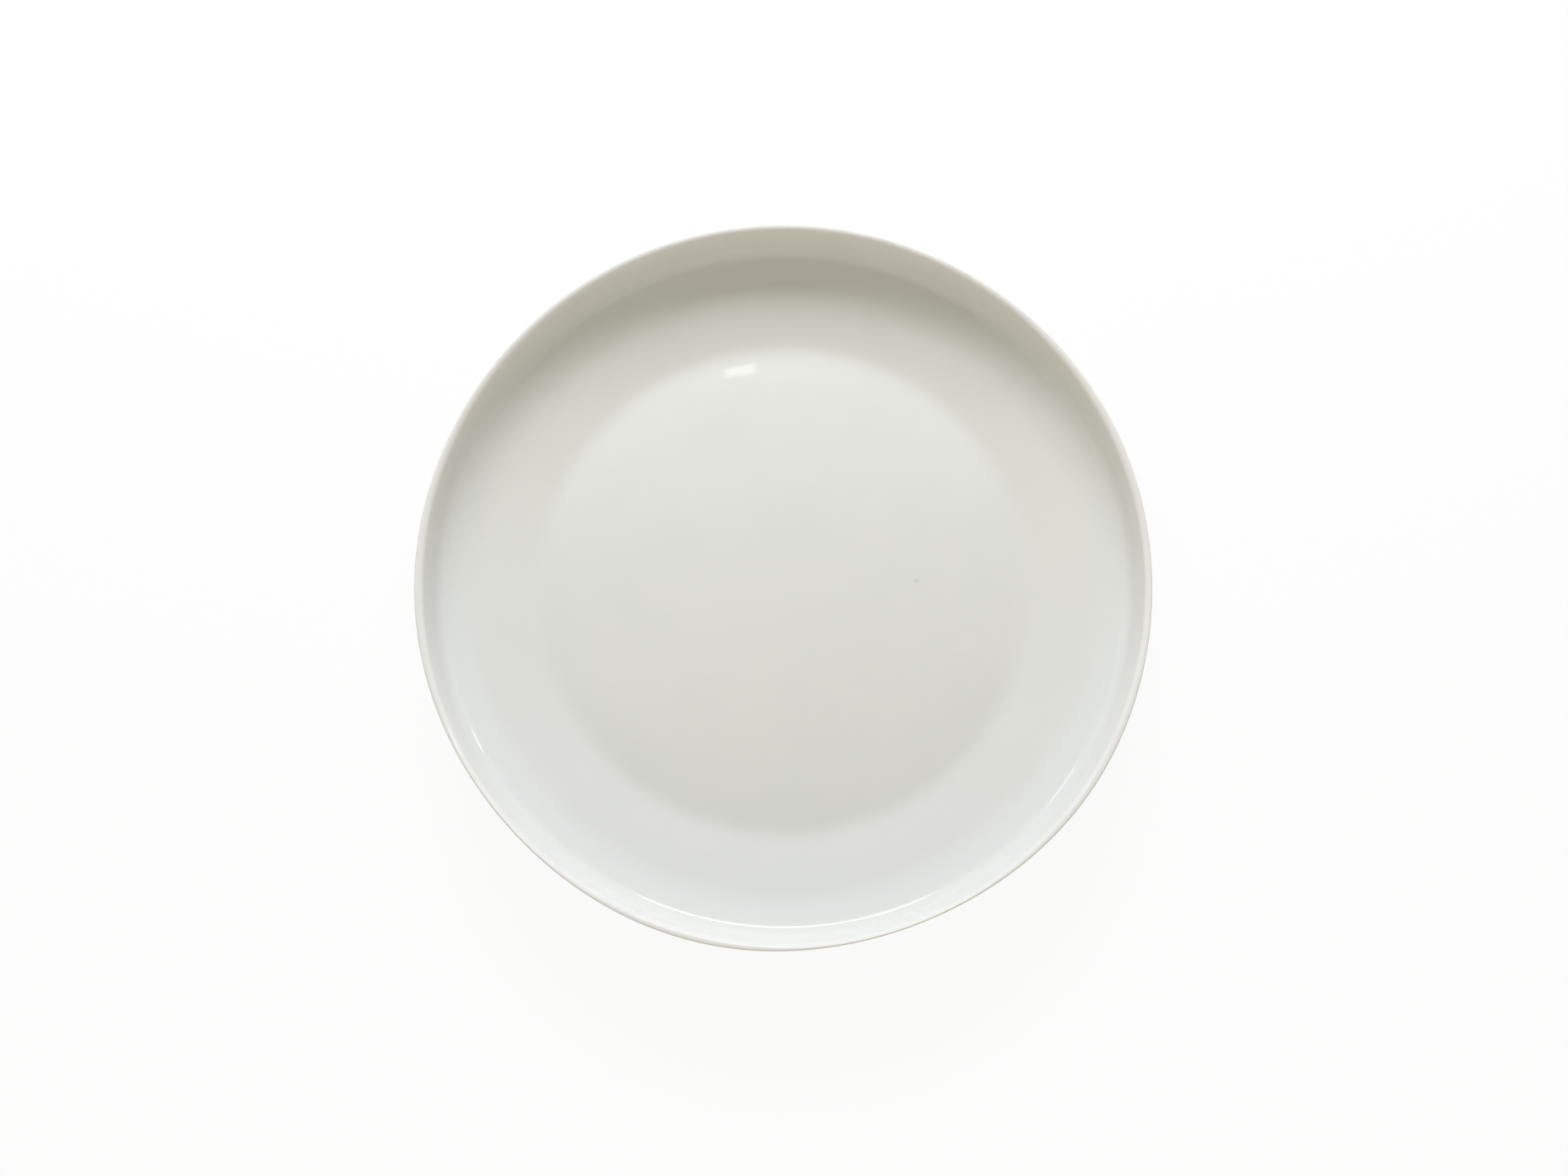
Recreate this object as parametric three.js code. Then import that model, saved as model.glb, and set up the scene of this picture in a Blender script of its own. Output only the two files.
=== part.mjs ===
// A dessert plate: a flat well, a gently sloping shoulder that turns up in a cove, and a steep wall
// with a rounded lip. One porcelain body stands on its own foot ring. Glaze covers it all but the
// foot, which is wiped bare before firing, so the glaze is two skins: the coat outside the foot and
// the one in the recess.
// Millimetres, with +Z up. The origin is on the table, under the centre of the plate.
import * as THREE from "three";

// Overall sizes, over the glaze
const DIAMETER = 210;
const HEIGHT = 26;

// The eating side
const WELL_DIAMETER = 145; // to the corner between the flat well and the shoulder
const COVE_DIAMETER = 182; // to the corner where the shoulder starts to turn up to the wall
const SHOULDER_SLOPE = 13; // degrees from the table, as are the other slopes
const COVE_SLOPE = 22;
const INNER_WALL_SLOPE = 76;
const OUTER_WALL_SLOPE = 72; // less than inside, so that the wall is thicker at its root
const WELL_BEND_RADIUS = 20;
const COVE_BEND_RADIUS = 40;
const WALL_BEND_RADIUS = 6;
const LIP_INNER_RADIUS = 1.8; // rolls the wall over to the lip's outer edge
const LIP_EDGE_RADIUS = 0.15;

// The thickness of the porcelain
const WELL_THICKNESS = 4.6;
const SHOULDER_THICKNESS = 4; // of the cove as well
const LIP_THICKNESS = 1.6; // between the lines of the wall, at the top

// The foot ring
const FOOT_INSET = 10; // from the well's corner in to the root of the ring's outer flank
const FOOT_HEIGHT = 2.8;
const FOOT_WIDTH = 3; // of the face that stands on the table, out to its unrounded edges
const FOOT_DRAFT = 20; // degrees that each flank leans from upright
const FOOT_ROOT_RADIUS = 2;
const FOOT_EDGE_RADIUS = 0.8;

// The glaze
const GLAZE_THICKNESS = 0.25;
const BARE_HEIGHT = 1; // from the table up to where the wiped glaze starts

// The facets
const TURN_STEPS = 64; // round the axis
const ARC_SAG = 0.15; // the most that a facet may cut off a rounded corner
const FACET_TURN = 30; // degrees, the most between two facets of a rounded corner
const MERGED = 0.001; // closer points are one

// The section is drawn in radius and height, which are a Vector2's x and y.
const point = (radius, height) => new THREE.Vector2(radius, height);

// A straight line of the section, through a point and rising outwards at an angle to the table
function line(through, degrees) {
  const angle = THREE.MathUtils.degToRad(degrees);
  return { through, along: point(Math.cos(angle), Math.sin(angle)) };
}

// A line parallel to another, a distance below it or outside it
function beside({ through, along }, distance) {
  const away = point(along.y, -along.x);
  return { through: through.clone().addScaledVector(away, distance), along };
}

// The point where two lines cross
function crossing(a, b) {
  const across = b.through.clone().sub(a.through).cross(b.along);
  return a.through.clone().addScaledVector(a.along, across / a.along.cross(b.along));
}

// The lines of the porcelain's section
const wellRadius = WELL_DIAMETER / 2;
const wellTop = FOOT_HEIGHT + WELL_THICKNESS;
const edgeReach = GLAZE_THICKNESS + LIP_EDGE_RADIUS; // from the edge's centre to outside its glaze
const edgeCentre = point(DIAMETER / 2 - edgeReach, HEIGHT - edgeReach);

const table = line(point(0, 0), 0);
const well = line(point(0, wellTop), 0);
const underWell = beside(well, WELL_THICKNESS);
const shoulder = line(point(wellRadius, wellTop), SHOULDER_SLOPE);
const underShoulder = beside(shoulder, SHOULDER_THICKNESS);
const coveStart = crossing(shoulder, line(point(COVE_DIAMETER / 2, 0), 90));
const cove = line(coveStart, COVE_SLOPE);
const underCove = beside(cove, SHOULDER_THICKNESS);
const lipTop = beside(line(edgeCentre, 0), -LIP_EDGE_RADIUS);
const lipSide = beside(line(edgeCentre, 90), LIP_EDGE_RADIUS);
const lipStart = crossing(lipTop, beside(lipSide, -LIP_THICKNESS));
const innerWall = line(lipStart, INNER_WALL_SLOPE);
const outerWall = beside(line(edgeCentre, OUTER_WALL_SLOPE), LIP_EDGE_RADIUS);
const outerFlank = line(point(wellRadius - FOOT_INSET, FOOT_HEIGHT), 90 - FOOT_DRAFT);
const outerFootEdge = crossing(outerFlank, table);
const innerFootEdge = point(outerFootEdge.x - FOOT_WIDTH, 0);
const innerFlank = line(innerFootEdge, 90 + FOOT_DRAFT);

// The corners of the section with their rounding, from the middle of the well, over the lip and
// round the foot ring to the middle of the underside
const corners = [
  { at: well.through, radius: 0 },
  { at: crossing(well, shoulder), radius: WELL_BEND_RADIUS },
  { at: coveStart, radius: COVE_BEND_RADIUS },
  { at: crossing(cove, innerWall), radius: WALL_BEND_RADIUS },
  { at: lipStart, radius: LIP_INNER_RADIUS },
  { at: crossing(lipTop, lipSide), radius: LIP_EDGE_RADIUS },
  { at: crossing(lipSide, outerWall), radius: LIP_EDGE_RADIUS },
  { at: crossing(outerWall, underCove), radius: WALL_BEND_RADIUS + SHOULDER_THICKNESS },
  { at: crossing(underCove, underShoulder), radius: COVE_BEND_RADIUS + SHOULDER_THICKNESS },
  { at: crossing(underShoulder, underWell), radius: WELL_BEND_RADIUS + WELL_THICKNESS },
  { at: crossing(underWell, outerFlank), radius: FOOT_ROOT_RADIUS },
  { at: outerFootEdge, radius: FOOT_EDGE_RADIUS },
  { at: innerFootEdge, radius: FOOT_EDGE_RADIUS },
  { at: crossing(innerFlank, underWell), radius: FOOT_ROOT_RADIUS },
  { at: underWell.through, radius: 0 },
];

// The unit direction along the section into a corner, or out of the first one
function headingInto(index) {
  const [from, to] = index > 0 ? [index - 1, index] : [0, 1];
  return corners[to].at.clone().sub(corners[from].at).normalize();
}

// The direction out of the porcelain, on the left of a heading
const outOf = (direction) => point(-direction.y, direction.x);

// How far a corner turns, in radians: positive to the left, into a hollow
function turnAt(index) {
  const before = headingInto(index);
  const after = headingInto(index + 1);
  return Math.atan2(before.cross(after), before.dot(after));
}

// The straight length that a corner's rounding takes up on each side of it
function roundingReach(index) {
  const { radius } = corners[index];
  return radius > 0 ? radius * Math.tan(Math.abs(turnAt(index)) / 2) : 0;
}

// The share of its reach that a corner gets where two roundings want more than their straight has
function roundingShare(index) {
  const shares = [index - 1, index + 1].map((neighbour) => {
    const straight = corners[index].at.distanceTo(corners[neighbour].at);
    return straight / (roundingReach(index) + roundingReach(neighbour));
  });
  return Math.min(1, ...shares);
}

// The surface points of one corner, each with the direction out of the porcelain
function roundedCorner(index) {
  const { at, radius } = corners[index];
  const before = headingInto(index);
  if (radius === 0) return [{ at, out: outOf(before) }];

  const turn = turnAt(index);
  const share = roundingShare(index);
  const start = at.clone().addScaledVector(before, -share * roundingReach(index));
  const centre = start.clone().addScaledVector(outOf(before), Math.sign(turn) * share * radius);
  const sagTurn = 2 * Math.acos(1 - Math.min(1, ARC_SAG / radius));
  const facetTurn = Math.min(sagTurn, THREE.MathUtils.degToRad(FACET_TURN));
  const steps = Math.ceil(Math.abs(turn) / facetTurn);
  return Array.from({ length: steps + 1 }, (_, step) => {
    const angle = (turn * step) / steps;
    return {
      at: start.clone().rotateAround(centre, angle),
      out: outOf(before).rotateAround(point(0, 0), angle),
    };
  });
}

const section = corners.flatMap((_, index) => roundedCorner(index));

// The point of the section between two others where the wiped glaze ends
function glazeLine(a, b) {
  const share = (BARE_HEIGHT - a.at.y) / (b.at.y - a.at.y);
  return { at: a.at.clone().lerp(b.at, share), out: a.out.clone().lerp(b.out, share).normalize() };
}

// The stretches of the section: the coat's, the bare foot's and the recess's
const isBare = ({ at }) => at.y < BARE_HEIGHT;
const firstBare = section.findIndex(isBare);
const lastBare = section.findLastIndex(isBare);
const outerGlazeLine = glazeLine(section[firstBare - 1], section[firstBare]);
const innerGlazeLine = glazeLine(section[lastBare], section[lastBare + 1]);
const coated = [...section.slice(0, firstBare), outerGlazeLine];
const bare = section.slice(firstBare, lastBare + 1);
const recessed = [innerGlazeLine, ...section.slice(lastBare + 1)];

// The porcelain's own surface, and the glaze's surface over it
const bonded = (stretch) => stretch.map(({ at }) => at);
const fired = (stretch) =>
  stretch.map(({ at, out }) => at.clone().addScaledVector(out, GLAZE_THICKNESS));

// A piece turned about the plate's axis from a profile that starts and ends on it. A lathe's faces
// point outwards where its profile runs up the outside, so the profile is taken from its end.
function turned(name, profile, material) {
  const distinct = profile.filter((p, i) => !i || p.distanceTo(profile[i - 1]) > MERGED);
  const geometry = new THREE.LatheGeometry(distinct.reverse(), TURN_STEPS).rotateX(Math.PI / 2);
  const mesh = new THREE.Mesh(geometry, material);
  mesh.name = name;
  return mesh;
}

const porcelain = new THREE.MeshStandardMaterial({ color: 0xe8e3d8, roughness: 0.7, metalness: 0 });
const glaze = new THREE.MeshStandardMaterial({ color: 0xe6e7e1, roughness: 0.12, metalness: 0 });

const plate = new THREE.Group();
plate.add(
  turned("porcelain_body", bonded([...coated, ...bare, ...recessed]), porcelain),
  turned("glaze_coat", [...fired(coated), ...bonded(coated).reverse()], glaze),
  turned("base_glaze", [...bonded(recessed).reverse(), ...fired(recessed)], glaze),
);

export default plate;
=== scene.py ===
import math

import bpy
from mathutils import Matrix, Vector, noise


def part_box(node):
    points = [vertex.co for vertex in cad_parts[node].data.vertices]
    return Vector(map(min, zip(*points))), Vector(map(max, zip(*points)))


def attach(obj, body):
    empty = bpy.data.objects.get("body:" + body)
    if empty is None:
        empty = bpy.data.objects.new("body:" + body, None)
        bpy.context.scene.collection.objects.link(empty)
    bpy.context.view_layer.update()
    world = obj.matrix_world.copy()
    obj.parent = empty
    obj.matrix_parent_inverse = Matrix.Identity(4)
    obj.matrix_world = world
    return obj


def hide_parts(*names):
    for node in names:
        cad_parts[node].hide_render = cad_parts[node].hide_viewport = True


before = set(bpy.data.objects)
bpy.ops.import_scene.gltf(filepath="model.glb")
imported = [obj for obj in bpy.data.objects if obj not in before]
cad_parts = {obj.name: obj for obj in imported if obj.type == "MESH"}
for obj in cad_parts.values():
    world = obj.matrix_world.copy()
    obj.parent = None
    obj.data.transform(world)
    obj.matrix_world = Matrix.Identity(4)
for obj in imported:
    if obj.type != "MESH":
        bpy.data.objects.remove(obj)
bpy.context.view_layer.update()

# Sizes are in metres, in the frame of the CAD part: +Z up, and the origin on the table.
MM = 0.001

# The section of the plate, as the CAD part has it
RIM_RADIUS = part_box("glaze_coat")[1].x
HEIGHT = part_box("glaze_coat")[1].z
WELL_RADIUS = 72.5 * MM
COVE_RADIUS = 91 * MM
SHOULDER_SLOPE = 13  # degrees from the table
COVE_SLOPE = 22  # degrees from the table
INNER_WALL_SLOPE = 76  # degrees from the table
OUTER_WALL_SLOPE = 72  # degrees from the table
WELL_BEND_RADIUS = 20 * MM
COVE_BEND_RADIUS = 40 * MM
WALL_BEND_RADIUS = 6 * MM
WELL_THICKNESS = 4.6 * MM
SHOULDER_THICKNESS = 4 * MM
LIP_THICKNESS = 1.6 * MM
LIP_INNER_RADIUS = 1.8 * MM
LIP_EDGE_RADIUS = 0.15 * MM
FOOT_INSET = 10 * MM
FOOT_HEIGHT = 2.8 * MM
FOOT_WIDTH = 3 * MM
FOOT_DRAFT = 20  # degrees from upright
FOOT_ROOT_RADIUS = 2 * MM
FOOT_EDGE_RADIUS = 0.8 * MM
GLAZE_THICKNESS = 0.25 * MM
BARE_HEIGHT = 1 * MM

# How finely the surfaces are drawn
TURN_STEPS = 240
ARC_STEP = 4  # degrees of a rounded corner
STRAIGHT_STEP = 2 * MM
FOOT_STEP = 0.08 * MM  # along the flanks of the foot, where the glaze ends
FOOT_STEP_HEIGHT = 2 * BARE_HEIGHT  # how far up the flanks these steps go
MERGED = 0.001 * MM  # closer points are one

# How far the fired plate is from a true turned shape
RIM_DIP = 0.12 * MM
DIP_COUNT = 3  # round the rim
OVAL = 0.15 * MM  # how much less the radius is across the short way
LIP_WAVE = 0.9 * MM  # how much thinner the lip is in places along the near side
WAVE_COUNT = 5  # round the whole rim
WAVE_CREST = math.radians(255)  # where the lip keeps its thickness
WELL_GROOVE = 0.3 * MM  # how far the edge of the well sinks
GROOVE_WIDTH = 8 * MM
RIPPLE = 0.03 * MM  # of the whole surface
RIPPLE_LENGTH = 25 * MM
BEAD_WIDTH = 0.5 * MM  # of the rounded edge where the glaze ends


# The section


def line(radius, height, degrees):
    """A line of the section through a point, rising outwards at an angle to the table."""
    angle = math.radians(degrees)
    return Vector((radius, height)), Vector((math.cos(angle), math.sin(angle)))


def beside(drawn, distance):
    """A line parallel to another, a distance below it or outside it."""
    through, along = drawn
    return through + distance * Vector((along.y, -along.x)), along


def crossing(a, b):
    """The point where two lines cross."""
    (through_a, along_a), (through_b, along_b) = a, b
    share = (through_b - through_a).cross(along_b) / along_a.cross(along_b)
    return through_a + share * along_a


def turned_by(vector, angle):
    """A vector of the section turned to the left by an angle in radians."""
    cosine, sine = math.cos(angle), math.sin(angle)
    return Vector((cosine * vector.x - sine * vector.y, sine * vector.x + cosine * vector.y))


def rounded(corners):
    """The points of a line through corners, each (place, radius), with the direction to its left."""
    points = []
    for index, (place, radius) in enumerate(corners):
        before = place - corners[index - 1][0] if index else corners[1][0] - place
        before.normalize()
        left = Vector((-before.y, before.x))
        if not radius:
            points.append((place, left))
            continue
        after = (corners[index + 1][0] - place).normalized()
        turn = math.atan2(before.cross(after), before.dot(after))
        start = place - radius * math.tan(abs(turn) / 2) * before
        to_centre = math.copysign(radius, turn) * left
        steps = math.ceil(abs(math.degrees(turn)) / ARC_STEP)
        for step in range(steps + 1):
            angle = turn * step / steps
            points.append((start + to_centre - turned_by(to_centre, angle), turned_by(left, angle)))
    return points


def body_section():
    """The porcelain's surface from the middle of the well, over the lip and the foot, to the base."""
    well_top = FOOT_HEIGHT + WELL_THICKNESS
    lip_edge = RIM_RADIUS - GLAZE_THICKNESS
    lip_height = HEIGHT - GLAZE_THICKNESS
    edge_centre = (lip_edge - LIP_EDGE_RADIUS, lip_height - LIP_EDGE_RADIUS)
    table = line(0, 0, 0)
    well = line(0, well_top, 0)
    under_well = beside(well, WELL_THICKNESS)
    shoulder = line(WELL_RADIUS, well_top, SHOULDER_SLOPE)
    under_shoulder = beside(shoulder, SHOULDER_THICKNESS)
    cove = line(*crossing(shoulder, line(COVE_RADIUS, 0, 90)), COVE_SLOPE)
    under_cove = beside(cove, SHOULDER_THICKNESS)
    inner_wall = line(lip_edge - LIP_THICKNESS, lip_height, INNER_WALL_SLOPE)
    outer_wall = beside(line(*edge_centre, OUTER_WALL_SLOPE), LIP_EDGE_RADIUS)
    lip_top = line(0, lip_height, 0)
    lip_side = line(lip_edge, 0, 90)
    outer_flank = line(WELL_RADIUS - FOOT_INSET, FOOT_HEIGHT, 90 - FOOT_DRAFT)
    outer_edge = crossing(outer_flank, table)
    inner_edge = outer_edge - Vector((FOOT_WIDTH, 0))
    inner_flank = line(*inner_edge, 90 + FOOT_DRAFT)
    return rounded([
        (well[0], 0),
        (crossing(well, shoulder), WELL_BEND_RADIUS),
        (crossing(shoulder, cove), COVE_BEND_RADIUS),
        (crossing(cove, inner_wall), WALL_BEND_RADIUS),
        (crossing(inner_wall, lip_top), LIP_INNER_RADIUS),
        (crossing(lip_top, lip_side), LIP_EDGE_RADIUS),
        (crossing(lip_side, outer_wall), LIP_EDGE_RADIUS),
        (crossing(outer_wall, under_cove), WALL_BEND_RADIUS + SHOULDER_THICKNESS),
        (crossing(under_cove, under_shoulder), COVE_BEND_RADIUS + SHOULDER_THICKNESS),
        (crossing(under_shoulder, under_well), WELL_BEND_RADIUS + WELL_THICKNESS),
        (crossing(under_well, outer_flank), FOOT_ROOT_RADIUS),
        (outer_edge, FOOT_EDGE_RADIUS),
        (inner_edge, FOOT_EDGE_RADIUS),
        (crossing(inner_flank, under_well), FOOT_ROOT_RADIUS),
        (under_well[0], 0),
    ])


def between(a, b, share):
    """A point of the section and its direction, a share of the way between two others."""
    return a[0].lerp(b[0], share), a[1].lerp(b[1], share).normalized()


def drawn_finely(points):
    """The same section with its straights divided, and no point twice."""
    fine = [points[0]]
    for point in points[1:]:
        last = fine[-1]
        length = (point[0] - last[0]).length
        if length < MERGED:
            continue
        on_foot = min(last[0].y, point[0].y) < FOOT_STEP_HEIGHT
        steps = math.ceil(length / (FOOT_STEP if on_foot else STRAIGHT_STEP))
        fine += [between(last, point, step / steps) for step in range(1, steps + 1)]
    return fine


def at_glaze_line(a, b):
    """The point between two others at the height where the wiped glaze ends."""
    return between(a, b, (BARE_HEIGHT - a[0].y) / (b[0].y - a[0].y))


section = drawn_finely(body_section())
bare_places = [index for index, (place, _) in enumerate(section) if place.y < BARE_HEIGHT]
first_bare, last_bare = bare_places[0], bare_places[-1]
coated = section[:first_bare] + [at_glaze_line(section[first_bare - 1], section[first_bare])]
recessed = [at_glaze_line(section[last_bare], section[last_bare + 1])] + section[last_bare + 1:]
glaze_ends = [coated[-1][0], recessed[0][0]]


# The turned meshes


def crest_and_trough(angle):
    """A wave that is 0 on its crests and 1 in its troughs."""
    return (1 - math.cos(angle)) / 2


def fired(place):
    """A point of the true turned plate as the kiln leaves it, never outside the true shape.

    It is a little oval, its rim dips, the outside of its lip waves, its well sinks along the edge, and
    all of it ripples.
    """
    radius = math.hypot(place.x, place.y)
    angle = math.atan2(place.y, place.x)
    reach = radius / RIM_RADIUS
    rise = place.z / HEIGHT
    ripple = RIPPLE * (1 + noise.noise(place / RIPPLE_LENGTH)) / 2
    nearness = (1 - math.sin(angle)) / 2
    outwards = min(1, max(0, 1 - (RIM_RADIUS - radius) / (LIP_THICKNESS + GLAZE_THICKNESS)))
    across_lip = crest_and_trough(math.pi * outwards)
    wave = LIP_WAVE * nearness * across_lip * crest_and_trough(WAVE_COUNT * (angle - WAVE_CREST))
    inward = OVAL * reach * crest_and_trough(2 * angle) + ripple * reach + wave
    dip = RIM_DIP * reach ** 2 * rise * crest_and_trough(DIP_COUNT * angle) + ripple * rise
    from_edge = (radius - WELL_RADIUS) / GROOVE_WIDTH
    groove = WELL_GROOVE * math.exp(-from_edge ** 2) * min(1, place.z / (FOOT_HEIGHT + WELL_THICKNESS))
    across = 1 - inward / RIM_RADIUS
    return Vector((place.x * across, place.y * across, place.z - dip - groove))


def turned(name, profile, material):
    """A mesh turned about the plate's axis from a profile."""
    vertices, rings, faces = [], [], []
    for radius, height in profile:
        steps = 1 if radius < MERGED else TURN_STEPS
        rings.append(range(len(vertices), len(vertices) + steps))
        for step in range(steps):
            angle = 2 * math.pi * step / TURN_STEPS
            vertices.append(Vector((radius * math.cos(angle), radius * math.sin(angle), height)))
    for inner, outer in zip(rings, rings[1:]):
        for step in range(TURN_STEPS):
            following = (step + 1) % TURN_STEPS
            corners = [
                inner[step % len(inner)],
                outer[step % len(outer)],
                outer[following % len(outer)],
                inner[following % len(inner)],
            ]
            faces.append(list(dict.fromkeys(corners)))  # a triangle where a ring is a point
    mesh = bpy.data.meshes.new(name)
    mesh.from_pydata(vertices, [], faces)
    mesh.materials.append(material)
    mesh.shade_smooth()
    turning = bpy.data.objects.new(name, mesh)
    bpy.context.scene.collection.objects.link(turning)
    return turning


def under_glaze(points):
    """The porcelain's own surface."""
    return [place for place, _ in points]


def over_glaze(points):
    """The glaze's surface, which rounds off to the porcelain where it was wiped."""
    surface = []
    for place, out in points:
        from_end = min((place - end).length for end in glaze_ends)
        into_bead = max(0, 1 - from_end / BEAD_WIDTH)
        surface.append(place + GLAZE_THICKNESS * math.sqrt(1 - into_bead ** 2) * out)
    return surface


# Materials


def wired(tree, kind, inputs, output=0, **settings):
    """The output of a new node, whose inputs are numbers, colours or the outputs of other nodes."""
    node = tree.nodes.new("ShaderNode" + kind)
    for name, value in settings.items():
        setattr(node, name, value)
    for name, value in inputs.items():
        if isinstance(value, bpy.types.NodeSocket):
            tree.links.new(value, node.inputs[name])
        else:
            node.inputs[name].default_value = value
    return node.outputs[output]


def shaded(name):
    """A new material with its node tree, its shader's inputs and the place on the object in metres."""
    material = bpy.data.materials.new(name)
    material.use_nodes = True
    tree = material.node_tree
    place = wired(tree, "TexCoord", {}, "Object")
    return material, tree, tree.nodes["Principled BSDF"].inputs, place


def ramp(tree, value, start, end, low=0, high=1):
    """A number that runs smoothly from low to high while a value runs from start to end."""
    inputs = {"Value": value, "From Min": start, "From Max": end, "To Min": low, "To Max": high}
    return wired(tree, "MapRange", inputs, interpolation_type="SMOOTHSTEP")


def blotches(tree, place, size, detail=2):
    """Noise with blotches of a size in metres."""
    return wired(tree, "TexNoise", {"Vector": place, "Scale": 1 / size, "Detail": detail}, "Fac")


# The sockets of a Mix node that are for colours
MIXED_COLOUR = 6
MIXED_TINT = 7
MIXED_RESULT = 2


def tinted(tree, colour, tint, share):
    """A colour mixed with a share of another."""
    inputs = {"Factor": share, MIXED_COLOUR: colour, MIXED_TINT: tint}
    return wired(tree, "Mix", inputs, MIXED_RESULT, data_type="RGBA")


def uneven(tree, height, depth):
    """A surface normal for a height in shares of a depth in metres."""
    return wired(tree, "Bump", {"Height": height, "Distance": depth})


# The glaze
GLAZE_WHITE = (0.806, 0.811, 0.78, 1)
CLOUD_WHITE = (0.792, 0.8, 0.768, 1)
CLOUD_SIZE = 18 * MM
CLOUD_NOISE = (0.4, 0.7)  # the noise where a cloud starts and where it is full
POOLED_WHITE = (0.797, 0.811, 0.785, 1)
POOLING_RADII = (COVE_RADIUS, RIM_RADIUS - 2 * WALL_BEND_RADIUS)  # where it starts and is full
POOLING_HEIGHTS = (HEIGHT / 2, HEIGHT - WALL_BEND_RADIUS)  # up the wall, where it is full and has ended
# A painted highlight: the top of the lip is painted whiter than the glaze, where light catches it
LIP_PAINTED_HIGHLIGHT = (0.87, 0.87, 0.84, 1)
LIP_HIGHLIGHT_HEIGHTS = (HEIGHT - LIP_INNER_RADIUS, HEIGHT - LIP_INNER_RADIUS / 4)  # where it starts and is full
THIN_WHITE = (0.8, 0.785, 0.735, 1)
THIN_HEIGHTS = (BARE_HEIGHT, BARE_HEIGHT + 1.2 * MM)  # where it is full and has ended
SPECK_GREY = (0.32, 0.31, 0.28, 1)
SPECK_PLACE = (39 * MM, 1.5 * MM, 7.6 * MM)
SPECK_RADII = (0.3 * MM, 1 * MM)  # of its core and its edge
SPECK_SHARE = 0.18  # of its grey in its core
SHINE_SIZE = 6 * MM
SHINE_NOISE = (0.3, 0.7)  # the noise where the glaze is smoothest and roughest
GLAZE_ROUGHNESS = (0.035, 0.065)
PEEL_SIZE = 3 * MM  # of the orange peel
PEEL_DEPTH = 0.004 * MM


def glaze_material():
    """White glaze with clouds and a speck, cooler where it pools, with a painted highlight on the lip,
    warmer at its end.
    """
    material, tree, shader, place = shaded("white_glaze")
    height = wired(tree, "SeparateXYZ", {"Vector": place}, "Z")
    flat = wired(tree, "VectorMath", {0: place, 1: (1, 1, 0)}, operation="MULTIPLY")
    radius = wired(tree, "VectorMath", {0: flat}, "Value", operation="LENGTH")

    clouds = ramp(tree, blotches(tree, place, CLOUD_SIZE), *CLOUD_NOISE)
    colour = tinted(tree, GLAZE_WHITE, CLOUD_WHITE, clouds)
    into_bend = ramp(tree, radius, *POOLING_RADII)
    out_of_bend = ramp(tree, height, *POOLING_HEIGHTS, 1, 0)
    pooled = wired(tree, "Math", {0: into_bend, 1: out_of_bend}, operation="MULTIPLY")
    colour = tinted(tree, colour, POOLED_WHITE, pooled)
    # painted highlight: the glaze turns whiter towards the top of the lip
    painted_lip_highlight = ramp(tree, height, *LIP_HIGHLIGHT_HEIGHTS)
    colour = tinted(tree, colour, LIP_PAINTED_HIGHLIGHT, painted_lip_highlight)
    at_end = ramp(tree, height, *THIN_HEIGHTS, 1, 0)
    colour = tinted(tree, colour, THIN_WHITE, at_end)
    from_speck = wired(tree, "VectorMath", {0: place, 1: SPECK_PLACE}, "Value", operation="DISTANCE")
    colour = tinted(tree, colour, SPECK_GREY, ramp(tree, from_speck, *SPECK_RADII, SPECK_SHARE, 0))
    tree.links.new(colour, shader["Base Color"])

    shine = blotches(tree, place, SHINE_SIZE)
    tree.links.new(ramp(tree, shine, *SHINE_NOISE, *GLAZE_ROUGHNESS), shader["Roughness"])
    orange_peel = blotches(tree, place, PEEL_SIZE)
    tree.links.new(uneven(tree, orange_peel, PEEL_DEPTH), shader["Normal"])
    return material


# The bare porcelain
PORCELAIN_WHITE = (0.74, 0.715, 0.65, 1)
PORCELAIN_BUFF = (0.7, 0.665, 0.59, 1)
PATCH_SIZE = 7 * MM  # of the buff patches
PATCH_NOISE = (0.35, 0.7)  # the noise where a patch starts and where it is full
GRAIN_GREY = (0.5, 0.47, 0.42, 1)
GRAIN_SIZE = 0.3 * MM
GRAIN_DETAIL = 4  # finer layers of its noise
GRAIN_NOISE = (0.6, 0.75)  # the noise where a grain starts and where it is full
GRAIN_SHARE = 0.6  # of its grey in a full grain
GRAIN_DEPTH = 0.04 * MM
ROUGH_NOISE = (0.3, 0.7)  # the noise where the porcelain is smoothest and roughest
PORCELAIN_ROUGHNESS = (0.62, 0.82)


def porcelain_material():
    """Bare fired porcelain, a matt buff white with a fine grain."""
    material, tree, shader, place = shaded("bare_porcelain")
    patches = ramp(tree, blotches(tree, place, PATCH_SIZE), *PATCH_NOISE)
    colour = tinted(tree, PORCELAIN_WHITE, PORCELAIN_BUFF, patches)
    grains = blotches(tree, place, GRAIN_SIZE, GRAIN_DETAIL)
    colour = tinted(tree, colour, GRAIN_GREY, ramp(tree, grains, *GRAIN_NOISE, 0, GRAIN_SHARE))
    tree.links.new(colour, shader["Base Color"])
    tree.links.new(ramp(tree, grains, *ROUGH_NOISE, *PORCELAIN_ROUGHNESS), shader["Roughness"])
    tree.links.new(uneven(tree, grains, GRAIN_DEPTH), shader["Normal"])
    return material


glaze = glaze_material()
porcelain = porcelain_material()


def plate_piece(name, node, material, profile):
    """A turned piece of the plate, as fired, in the place of a node of the CAD part."""
    piece = turned(name, profile, material)
    for vertex in piece.data.vertices:
        vertex.co = fired(vertex.co)
    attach(piece, "root")
    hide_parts(node)


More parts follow.
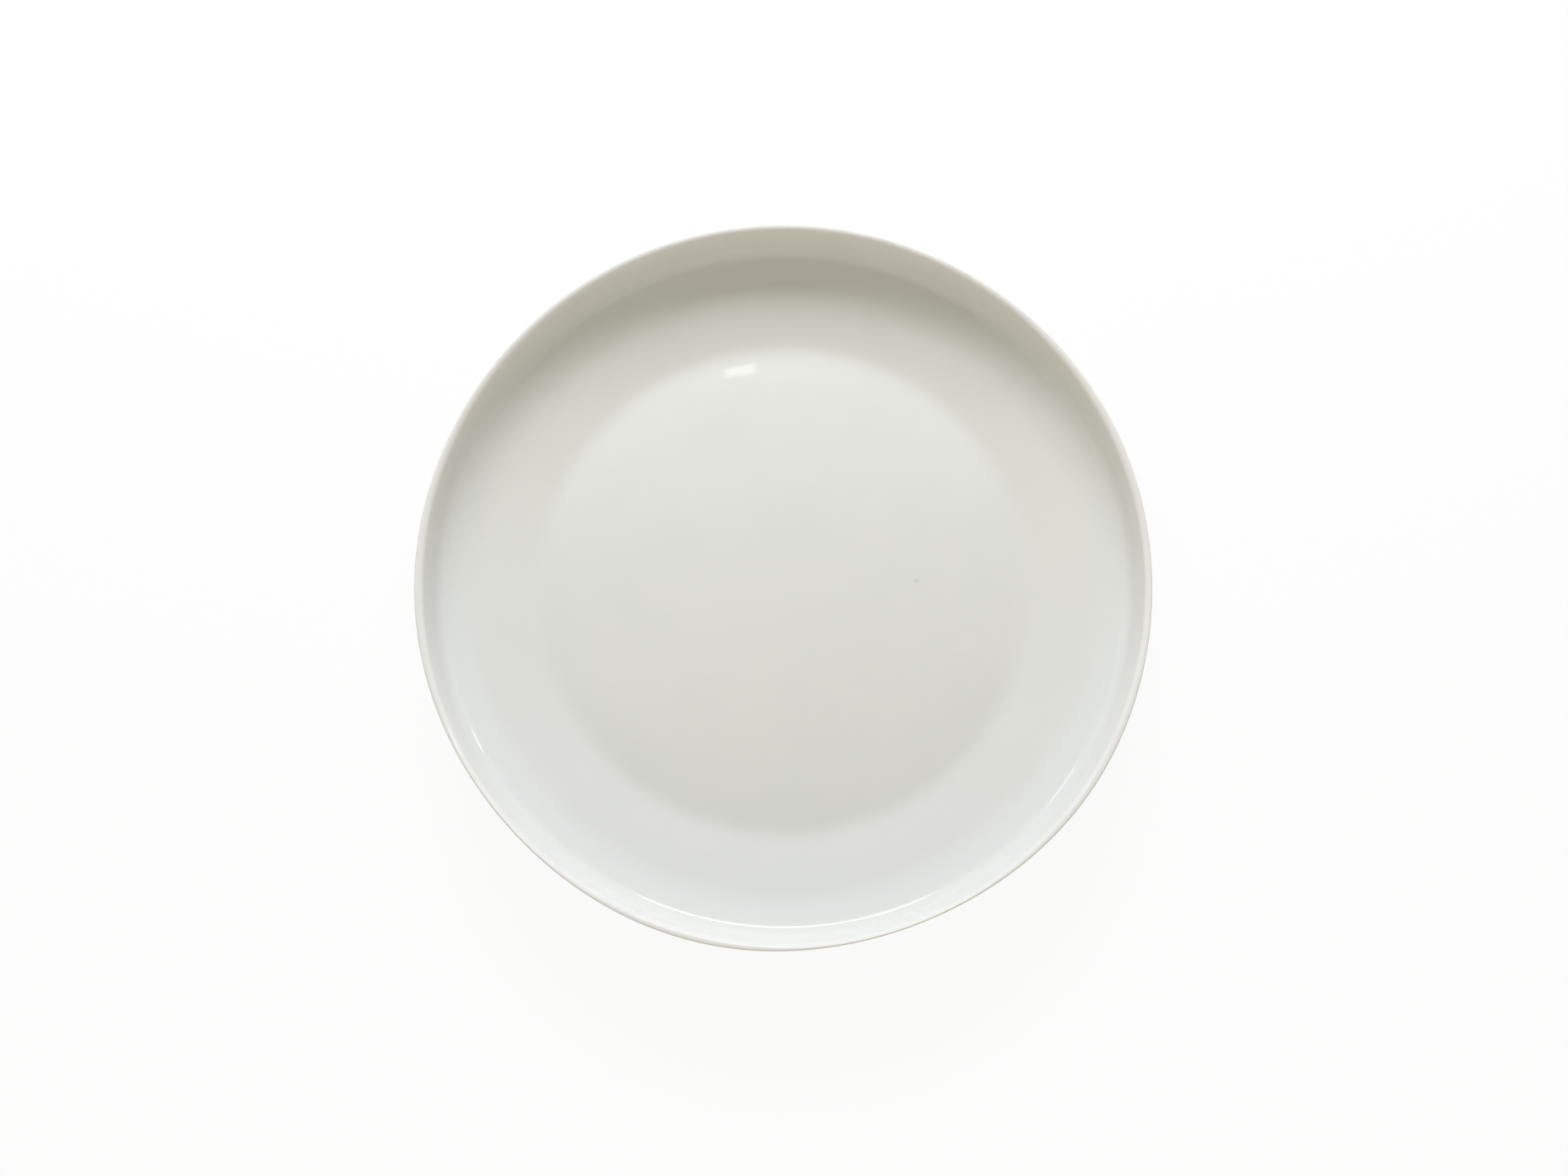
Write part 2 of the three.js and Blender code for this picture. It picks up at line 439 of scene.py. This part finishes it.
# The profile of a skin runs over the glaze and along the porcelain, and has their common end once.
plate_piece("fired_body", "porcelain_body", porcelain, under_glaze(section))
plate_piece("fired_coat", "glaze_coat", glaze, over_glaze(coated) + under_glaze(coated)[-2::-1])
plate_piece("fired_base", "base_glaze", glaze, under_glaze(recessed)[:0:-1] + over_glaze(recessed))


# The stage: floor, light and camera

FLOOR_SHARE = 0.08  # of the floor's own colour with its shadow, the rest being white
FLOOR_TO_CAMERA = 0.95  # the grey of that colour
FLOOR_TO_LAMPS = 0.5  # the grey that throws light back at the plate
STUDIO_RADIUS = 2.0
STUDIO_BEND = 0.5
STUDIO_HEIGHT = 2.0


def studio_material():
    """White to the camera and in reflections, with a faint shadow, and a pale floor to the lamps."""
    material = bpy.data.materials.new("white_studio")
    material.use_nodes = True
    tree = material.node_tree
    tree.nodes.clear()
    to_camera = wired(tree, "LightPath", {}, "Is Camera Ray")
    reflected = wired(tree, "LightPath", {}, "Is Glossy Ray")
    through = wired(tree, "LightPath", {}, "Is Transmission Ray")
    in_glass = wired(tree, "Math", {0: reflected, 1: through}, operation="MAXIMUM")
    seen = wired(tree, "Math", {0: to_camera, 1: in_glass}, operation="MAXIMUM")
    white_share = wired(tree, "Math", {0: seen, 1: 1 - FLOOR_SHARE}, operation="MULTIPLY")
    grey = ramp(tree, to_camera, 0, 1, FLOOR_TO_LAMPS, FLOOR_TO_CAMERA)
    pale = wired(tree, "BsdfDiffuse", {"Color": grey})
    white = wired(tree, "Emission", {"Strength": 1})
    surface = wired(tree, "MixShader", {"Fac": white_share, 1: pale, 2: white})
    output = tree.nodes.new("ShaderNodeOutputMaterial")
    tree.links.new(surface, output.inputs["Surface"])
    return material


def make_studio():
    """A round floor that bends up into a backdrop."""
    corner = rounded([
        (Vector((0, 0)), 0),
        (Vector((STUDIO_RADIUS, 0)), STUDIO_BEND),
        (Vector((STUDIO_RADIUS, STUDIO_HEIGHT)), 0),
    ])
    turned("studio", [place for place, _ in corner], studio_material())


def softbox(
    name, azimuth, elevation, distance, size, radiance,
    colour=(1, 1, 1), aim=Vector(), spread=180, mirrored=True,
):
    """A lamp of a given size and brightness that faces a point from a direction in degrees.

    A lamp that isn't mirrored lights the plate without a reflection in its glaze.
    """
    lamp = bpy.data.lights.new(name, "AREA")
    lamp.shape = "RECTANGLE"
    lamp.size, lamp.size_y = size
    lamp.energy = radiance * math.pi * lamp.size * lamp.size_y
    lamp.color = colour
    lamp.spread = math.radians(spread)
    holder = bpy.data.objects.new(name, lamp)
    around, up = math.radians(azimuth), math.radians(elevation)
    towards = Vector((math.cos(up) * math.cos(around), math.cos(up) * math.sin(around), math.sin(up)))
    holder.location = aim + distance * towards
    holder.rotation_euler = (-towards).to_track_quat("-Z", "Y").to_euler()
    holder.visible_camera = False
    holder.visible_glossy = mirrored
    bpy.context.scene.collection.objects.link(holder)


# The colours and the strength of the light
KEY_COOL = (0.93, 0.95, 1)
FRONT_WARM = (1, 0.82, 0.6)
LEFT_WARM = (1, 0.92, 0.8)
AMBIENT_WARM = (1, 0.99, 0.86, 1)
AMBIENT_STRENGTH = 0.402
WELL_EDGE = Vector((-0.017, 0.065, 0.008))  # where the far glint is


def make_lights():
    """A cool key behind the plate, warm fills, small lamps for the glints, and an even warm ambience."""
    softbox("key", 94, 34, 0.75, (0.62, 0.25), 10.1, KEY_COOL, mirrored=False)
    softbox("near_glint", 90, 34, 0.75, (0.43, 0.14), 5.2, KEY_COOL)
    softbox("front_fill", 270, 20, 1, (1.6, 0.7), 0.84, FRONT_WARM, mirrored=False)
    softbox("right_fill", 0, 14, 1, (1.2, 0.48), 0.6, mirrored=False)
    softbox("left_fill", 218, 16, 1, (1, 0.55), 0.75, LEFT_WARM, mirrored=False)
    softbox("left_glint", 133.2, 33, 0.7, (0.065, 0.15), 2.8)
    softbox("right_glint", 38.5, 27, 0.7, (0.045, 0.12), 5)
    softbox("far_glint", 95.5, 69.5, 1, (0.035, 0.025), 0.024, aim=WELL_EDGE, spread=15)
    world = bpy.data.worlds.new("studio")
    world.use_nodes = True
    ambience = world.node_tree.nodes["Background"].inputs
    ambience["Color"].default_value = AMBIENT_WARM
    ambience["Strength"].default_value = AMBIENT_STRENGTH
    bpy.context.scene.world = world


CAMERA_DISTANCE = 0.5
CAMERA_TILT = 9.4  # degrees from straight above
CAMERA_TARGET = Vector((0, -0.0018, 0.015))
SENSOR = 36  # millimetres wide
LENS = 39.6  # millimetres


def make_camera():
    """The camera of the photo, almost straight above the plate."""
    data = bpy.data.cameras.new("camera")
    data.sensor_width = SENSOR
    data.lens = LENS
    camera = bpy.data.objects.new("camera", data)
    tilt = math.radians(CAMERA_TILT)
    back = Vector((0, -math.sin(tilt), math.cos(tilt)))
    camera.location = CAMERA_TARGET + CAMERA_DISTANCE * back
    camera.rotation_euler = (tilt, 0, 0)
    bpy.context.scene.collection.objects.link(camera)
    bpy.context.scene.camera = camera


make_studio()
make_lights()
make_camera()

bpy.context.scene.view_settings.view_transform = "Standard"
